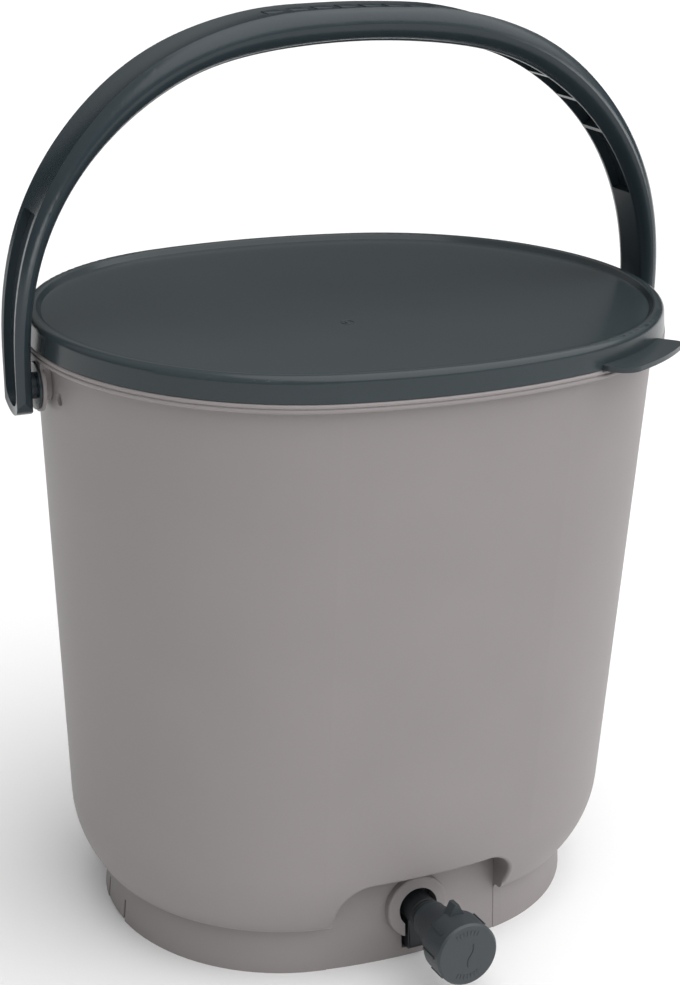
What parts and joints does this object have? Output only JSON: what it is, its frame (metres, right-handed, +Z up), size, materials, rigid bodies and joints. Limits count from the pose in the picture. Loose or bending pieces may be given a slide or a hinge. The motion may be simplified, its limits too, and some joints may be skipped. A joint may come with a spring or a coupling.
{
  "type": "bokashi bin",
  "caption": "Oval bokashi fermenting bin with a drafted grey tub on a foot ring, a dark sealed lid, a swinging carrying handle, an inner strainer plate and a turning drain tap.",
  "frame": {"origin": "centre of the oval plan, on the surface that the foot ring stands on", "axes": "+Z up, X along the oval's long axis through both handle pivots, the drain tap points along -Y"},
  "size_m": [0.3422, 0.2798, 0.4568],
  "materials": {
    "tub_plastic": "warm grey moulded polypropylene, fine satin",
    "lid_plastic": "dark slate moulded polypropylene, fine satin",
    "handle_plastic": "dark slate moulded polypropylene, satin",
    "strainer_plastic": "dark slate moulded polypropylene",
    "tap_plastic": "dark moulded polypropylene, satin",
    "knob_plastic": "dark slate moulded polypropylene, satin",
    "seal_rubber": "black elastomer"
  },
  "bodies": {
    "base": {"bucket": "tub_plastic", "tap_body": "tap_plastic", "tap_gasket": "seal_rubber", "tap_nut": "tap_plastic"},
    "lid": {"lid": "lid_plastic", "lid_seal": "seal_rubber"},
    "handle": {"handle": "handle_plastic"},
    "strainer": {"strainer_plate": "strainer_plastic"},
    "knob": {"tap_knob": "knob_plastic", "tap_o_rings": "seal_rubber"}
  },
  "joints": [
    {"name": "handle_swing", "type": "hinge", "parent": "base", "child": "handle", "pos_m": [0, 0, 0.29], "axis": [1, 0, 0], "range_deg": [-115, 115]},
    {"name": "lid_lift", "type": "slide", "parent": "base", "child": "lid", "axis": [0, 0, 1], "range_m": [0, 0.02]},
    {"name": "strainer_lift", "type": "slide", "parent": "base", "child": "strainer", "axis": [0, 0, 1], "range_m": [0, 0.2]},
    {"name": "tap_turn", "type": "hinge", "parent": "base", "child": "knob", "pos_m": [0, -0.0939, 0.0274], "axis": [0, -0.9962, 0.0872], "range_deg": [0, 180]}
  ]
}
